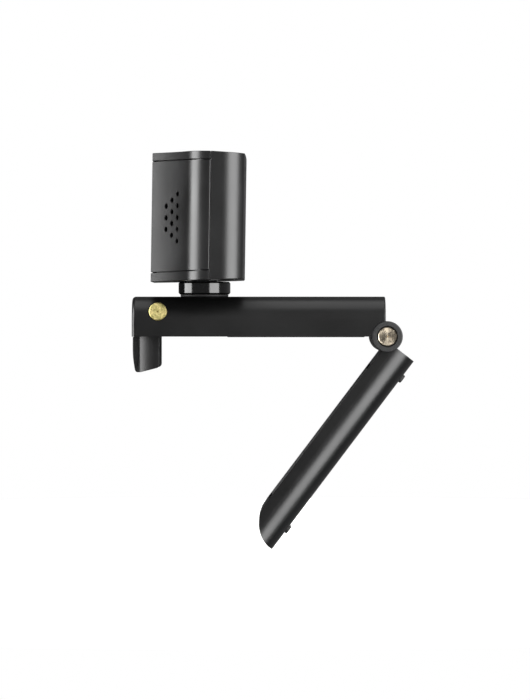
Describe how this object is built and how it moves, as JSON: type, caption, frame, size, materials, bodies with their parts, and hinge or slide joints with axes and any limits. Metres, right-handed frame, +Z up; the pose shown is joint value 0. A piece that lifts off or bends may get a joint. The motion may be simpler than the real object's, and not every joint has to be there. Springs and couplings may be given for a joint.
{
  "type": "webcam with folding clip stand",
  "caption": "Compact camera head on a swivel neck and a hollow arm, with a hinged front lip and a folding rear leg that clip over a screen.",
  "frame": {"origin": "middle of the rubber rest pad under the arm, on its lower face, which sits on the top edge of a screen", "axes": "+Z up, lens looks along -Y, +X is the width"},
  "size_m": [0.071, 0.0841, 0.1182],
  "materials": {
    "satin_black_metal": "aluminium with a satin black coating, fine orange-peel texture",
    "satin_black_plastic": "satin black moulded plastic, fine orange-peel texture",
    "gloss_black": "polished glossy black",
    "rubber": "matte moulded rubber",
    "brass": "rough yellow brass with brushing scratches",
    "turned_bronze": "turned face with fine concentric grooves, warm nickel tone",
    "matte_black": "matte black moulding",
    "acoustic_mesh": "black woven acoustic mesh",
    "lens_glass": "coated optical glass",
    "circuit_board": "solder mask",
    "light_pipe": "clear moulded light pipe",
    "steel": "bright steel"
  },
  "bodies": {
    "arm": {"arm_shell": "satin_black_metal", "arm_bottom_plate": "satin_black_metal", "rest_pad": "rubber", "plate_screw_front": "steel", "plate_screw_rear": "steel", "lip_pin": "brass", "lip_pin_nut": "brass", "rear_hinge_pin": "turned_bronze", "rear_hinge_nut": "turned_bronze", "hinge_washer_left": "steel", "hinge_washer_right": "steel"},
    "lip": {"lip_plate": "satin_black_metal", "lip_pad": "rubber"},
    "leg": {"leg_shell": "satin_black_metal", "leg_inner_cover": "satin_black_metal", "leg_grip_pad": "rubber", "leg_screw_lower": "steel", "leg_screw_upper": "steel", "foot_lower": "rubber", "foot_upper": "rubber"},
    "swivel": {"neck_post": "gloss_black", "neck_washer": "matte_black", "spring_washer": "steel", "swivel_screw": "steel"},
    "head": {"head_front_frame": "satin_black_plastic", "head_front_cover": "satin_black_plastic", "head_back_shell": "satin_black_plastic", "lens_bezel_ring": "gloss_black", "lens_window": "lens_glass", "lens_barrel": "matte_black", "lens_front_element": "lens_glass", "lens_rear_element": "lens_glass", "lens_holder": "matte_black", "ir_filter": "lens_glass", "image_sensor": "matte_black", "main_board": "circuit_board", "image_processor": "matte_black", "usb_socket": "steel", "microphone_left": "steel", "microphone_right": "steel", "mic_mesh_left": "acoustic_mesh", "mic_mesh_right": "acoustic_mesh", "status_light": "light_pipe", "shell_screw_lower_left": "steel", "shell_screw_lower_right": "steel", "shell_screw_upper_left": "steel", "shell_screw_upper_right": "steel", "board_screw_left": "steel", "board_screw_right": "steel", "bracket_screw_left": "steel", "bracket_screw_right": "steel", "tilt_bracket": "steel", "tilt_pin": "steel"}
  },
  "joints": [
    {"name": "pan", "type": "hinge", "parent": "arm", "child": "swivel", "pos_m": [0, -0.0274, 0], "axis": [0, 0, 1], "continuous": true},
    {"name": "tilt", "type": "hinge", "parent": "swivel", "child": "head", "pos_m": [0, -0.0274, 0.0223], "axis": [1, 0, 0], "range_deg": [-14, 12]},
    {"name": "lip_fold", "type": "hinge", "parent": "arm", "child": "lip", "pos_m": [0, -0.041, 0.00765], "axis": [1, 0, 0], "range_deg": [0, 90]},
    {"name": "leg_fold", "type": "hinge", "parent": "arm", "child": "leg", "pos_m": [0, 0.0271, 0.0002], "axis": [1, 0, 0], "range_deg": [-52.95, 127.05]}
  ]
}
